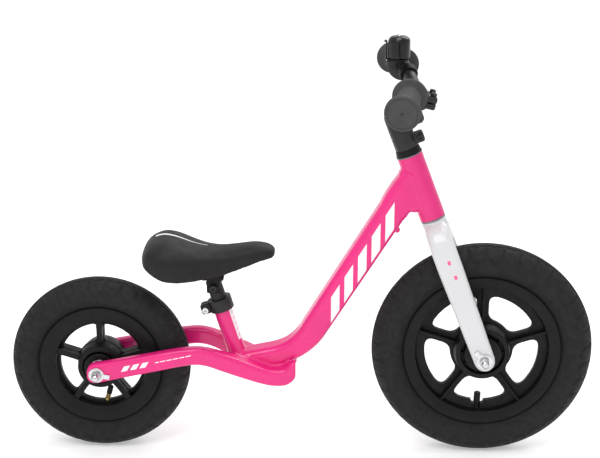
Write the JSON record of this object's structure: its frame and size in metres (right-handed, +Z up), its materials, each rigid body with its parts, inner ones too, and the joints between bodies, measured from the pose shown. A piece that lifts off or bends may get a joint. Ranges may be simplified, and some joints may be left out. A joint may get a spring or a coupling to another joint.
{
  "type": "balance bike",
  "caption": "Child's balance bike with a welded low-step frame, straight fork, moulded spoked wheels with air tyres, height-adjustable saddle, riser bar and flick bell.",
  "frame": {"origin": "centre of the bounding box in X and Y, on the ground under the tyres", "axes": "+X points forward along the bike, +Y to the rider's left, +Z up"},
  "size_m": [0.833, 0.3734, 0.5948],
  "materials": {
    "frame_paint": "gloss pink paint over aluminium",
    "fork_paint": "gloss white paint over steel",
    "tyre_rubber": "matt black rubber",
    "grip_rubber": "matt black rubber",
    "black_plastic": "satin moulded black plastic",
    "black_alloy": "satin black over aluminium",
    "grey_alloy": "satin grey",
    "vinyl": "smooth black vinyl over foam",
    "zinc_steel": "bright zinc plate"
  },
  "bodies": {
    "frame": {"down_tube": "frame_paint", "head_tube": "frame_paint", "seat_tube": "frame_paint", "chainstay_right": "frame_paint", "chainstay_left": "frame_paint", "seat_collar": "black_alloy", "seat_collar_bolt": "zinc_steel", "headset_bearing_lower": "zinc_steel", "headset_bearing_upper": "zinc_steel", "rear_axle": "zinc_steel", "rear_spacer_right": "zinc_steel", "rear_spacer_left": "zinc_steel", "rear_washer_right": "zinc_steel", "rear_washer_left": "zinc_steel", "rear_nut_right": "zinc_steel", "rear_nut_left": "zinc_steel"},
    "steering": {"headset_crown_race": "grey_alloy", "headset_top_cover": "black_plastic", "fork_crown": "fork_paint", "fork_steerer": "zinc_steel", "fork_leg_right": "fork_paint", "fork_leg_left": "fork_paint", "stem_body": "black_alloy", "stem_bolt": "zinc_steel", "bar_bolt_right": "zinc_steel", "bar_bolt_left": "zinc_steel", "stem_cap": "black_alloy", "stem_cap_bolt": "zinc_steel", "handlebar": "black_alloy", "grip_right": "grip_rubber", "grip_left": "grip_rubber", "bell_clamp": "black_plastic", "bell_dome": "black_alloy", "bell_screw": "zinc_steel", "bell_lever_pin": "zinc_steel", "front_axle": "zinc_steel", "front_spacer_right": "zinc_steel", "front_spacer_left": "zinc_steel", "front_washer_right": "zinc_steel", "front_washer_left": "zinc_steel", "front_nut_right": "zinc_steel", "front_nut_left": "zinc_steel"},
    "front_wheel": {"front_rim": "black_plastic", "front_tyre": "tyre_rubber", "front_inner_tube": "tyre_rubber", "front_valve_cap": "black_plastic", "front_bearing_right": "zinc_steel", "front_bearing_left": "zinc_steel"},
    "rear_wheel": {"rear_rim": "black_plastic", "rear_tyre": "tyre_rubber", "rear_inner_tube": "tyre_rubber", "rear_valve_cap": "black_plastic", "rear_bearing_right": "zinc_steel", "rear_bearing_left": "zinc_steel"},
    "seat_post": {"seat_post": "black_alloy"},
    "saddle": {"saddle_bracket": "black_plastic", "saddle_bolt": "zinc_steel", "saddle_base": "black_plastic", "saddle_pad": "vinyl"},
    "bell_lever": {"bell_lever": "black_plastic"}
  },
  "joints": [
    {"name": "steering", "type": "hinge", "parent": "frame", "child": "steering", "pos_m": [0.2595, 0, 0.157], "axis": [-0.3584, 0, 0.9336], "continuous": true},
    {"name": "front_wheel_spin", "type": "hinge", "parent": "steering", "child": "front_wheel", "pos_m": [0.2595, 0, 0.157], "axis": [0, 1, 0], "continuous": true},
    {"name": "rear_wheel_spin", "type": "hinge", "parent": "frame", "child": "rear_wheel", "pos_m": [-0.2875, 0, 0.129], "axis": [0, 1, 0], "continuous": true},
    {"name": "seat_height", "type": "slide", "parent": "frame", "child": "seat_post", "axis": [-0.2924, 0, 0.9563], "range_m": [-0.008, 0.036]},
    {"name": "saddle_tilt", "type": "hinge", "parent": "seat_post", "child": "saddle", "pos_m": [-0.12198, 0, 0.24952], "axis": [0, 1, 0], "range_deg": [-8, 8]},
    {"name": "bell_lever", "type": "hinge", "parent": "steering", "child": "bell_lever", "pos_m": [0.1183, 0.07449, 0.5595], "axis": [0, 1, 0], "range_deg": [-14, 0], "stiffness_Nm_per_rad": 0.01}
  ]
}
